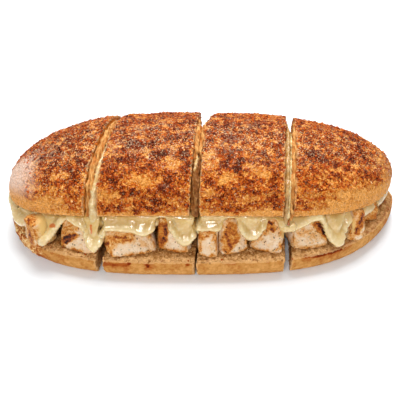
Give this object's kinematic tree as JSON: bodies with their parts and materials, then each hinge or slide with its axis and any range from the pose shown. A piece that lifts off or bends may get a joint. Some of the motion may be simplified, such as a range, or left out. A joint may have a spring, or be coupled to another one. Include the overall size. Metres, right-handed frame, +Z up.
{
  "type": "grilled chicken and melted cheese sub",
  "caption": "Long toasted sub roll cut across into slices that still lie together, filled with grilled chicken chunks under melted cheese that sags over them.",
  "frame": {"origin": "under the middle of the whole sub, on the surface that it lies on", "axes": "+X along the roll, +Z up, the open front with the sagging cheese at -Y"},
  "size_m": [0.262, 0.1126, 0.0698],
  "materials": {
    "top_bread": "toasted crust, mottled from golden to dark brown, over pale crumb at the cuts",
    "bottom_bread": "smooth golden tan crust with an open crumb ledge and toasted edge",
    "cheese": "glossy melted cheese, creamy pale yellow, slightly translucent",
    "chicken": "moist pale cut meat with golden seared faces, char and pepper specks"
  },
  "bodies": {
    "root": {"bottom_bun_1": "bottom_bread", "bottom_bun_2": "bottom_bread", "bottom_bun_3": "bottom_bread", "bottom_bun_4": "bottom_bread", "top_bun_1": "top_bread", "top_bun_2": "top_bread", "top_bun_3": "top_bread", "top_bun_4": "top_bread", "cheese_1": "cheese", "cheese_2": "cheese", "cheese_3": "cheese", "cheese_4": "cheese", "chicken_1_1": "chicken", "chicken_1_2": "chicken", "chicken_1_3": "chicken", "chicken_1_4": "chicken", "chicken_1_5": "chicken", "chicken_1_6": "chicken", "chicken_2_1": "chicken", "chicken_2_2": "chicken", "chicken_2_3": "chicken", "chicken_2_4": "chicken", "chicken_2_5": "chicken", "chicken_2_6": "chicken", "chicken_2_7": "chicken", "chicken_3_1": "chicken", "chicken_3_2": "chicken", "chicken_3_3": "chicken", "chicken_3_4": "chicken", "chicken_3_5": "chicken", "chicken_3_6": "chicken", "chicken_3_7": "chicken", "chicken_4_1": "chicken", "chicken_4_2": "chicken", "chicken_4_3": "chicken", "chicken_4_4": "chicken", "chicken_4_5": "chicken", "chicken_4_6": "chicken"}
  },
  "joints": []
}
